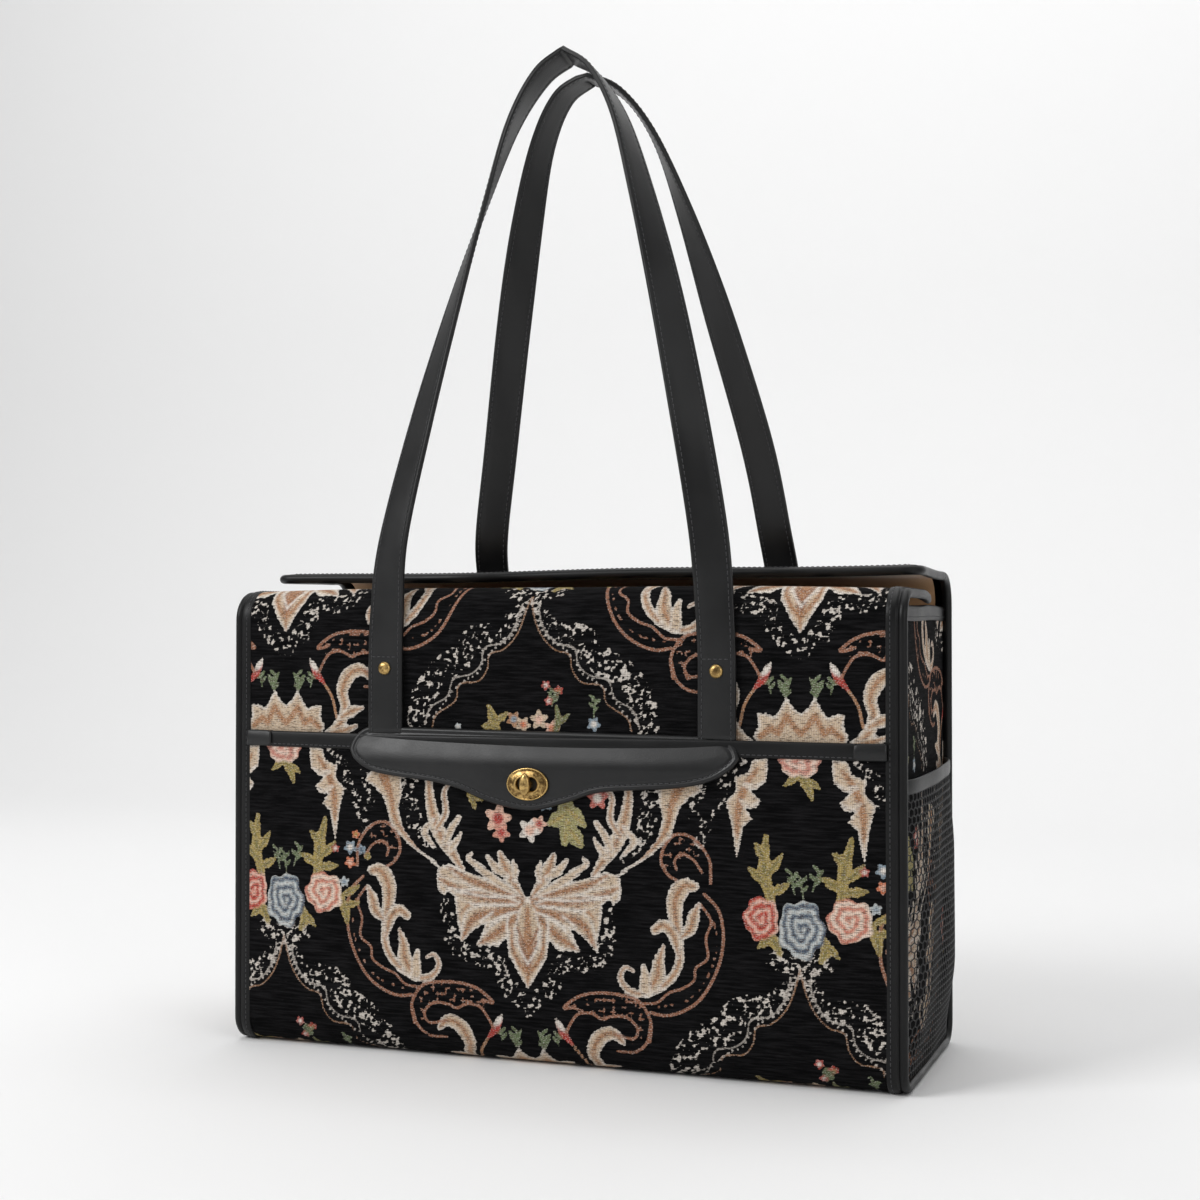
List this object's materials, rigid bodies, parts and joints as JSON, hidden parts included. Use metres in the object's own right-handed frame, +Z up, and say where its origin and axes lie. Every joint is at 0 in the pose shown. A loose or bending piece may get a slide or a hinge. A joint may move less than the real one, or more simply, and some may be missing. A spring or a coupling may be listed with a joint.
{
  "type": "carpet bag",
  "caption": "Boxy tapestry shoulder bag with leather-bound edges, a hinged lid, a turn-lock front pocket, a mesh side pocket and two long straps.",
  "frame": {"origin": "on the surface the bag stands on, under the middle of its body", "axes": "+X to the bag's right as seen from its front, +Y from its front to its back, +Z up"},
  "size_m": [0.4265, 0.1746, 0.6035],
  "materials": {
    "tapestry": "black chenille tapestry with a woven floral and scroll pattern",
    "leather": "smooth black, satin",
    "lining": "tan suede cloth",
    "mesh": "open black hexagonal mesh",
    "brass": "antique, polished on its raised edges"
  },
  "bodies": {
    "bag": {"back_left_rivet": "brass", "back_left_strap_end": "leather", "back_right_rivet": "brass", "back_right_strap_end": "leather", "body_lining": "lining", "body_wrap": "tapestry", "front_left_rivet": "brass", "front_left_strap_end": "leather", "front_pocket": "tapestry", "front_right_rivet": "brass", "front_right_strap_end": "leather", "left_binding_tab": "leather", "left_gusset": "tapestry", "left_gusset_band": "leather", "left_piping": "leather", "lock_plate": "brass", "lock_post": "brass", "pocket_binding": "leather", "pocket_flap": "leather", "right_binding_tab": "leather", "right_gusset": "tapestry", "right_gusset_band": "leather", "right_mesh_band": "leather", "right_mesh_pocket": "mesh", "right_piping": "leather"},
    "lid": {"lid_panel": "tapestry", "lid_lining": "lining", "lid_piping": "leather"},
    "knob": {"lock_knob": "brass"},
    "front_handle": {"front_handle_loop": "leather"},
    "back_handle": {"back_handle_loop": "leather"}
  },
  "joints": [
    {"name": "lid_hinge", "type": "hinge", "parent": "bag", "child": "lid", "pos_m": [0, 0.051, 0.29], "axis": [-1, 0, 0], "range_deg": [0, 95]},
    {"name": "knob_turn", "type": "hinge", "parent": "bag", "child": "knob", "pos_m": [-0.008, -0.0895, 0.1655], "axis": [0, 1, 0], "range_deg": [0, 90]},
    {"name": "front_handle_swing", "type": "hinge", "parent": "bag", "child": "front_handle", "pos_m": [0, -0.0784, 0.2393], "axis": [1, 0, 0], "range_deg": [0, 120]},
    {"name": "back_handle_swing", "type": "hinge", "parent": "bag", "child": "back_handle", "pos_m": [0, 0.0784, 0.2393], "axis": [-1, 0, 0], "range_deg": [0, 120]}
  ]
}
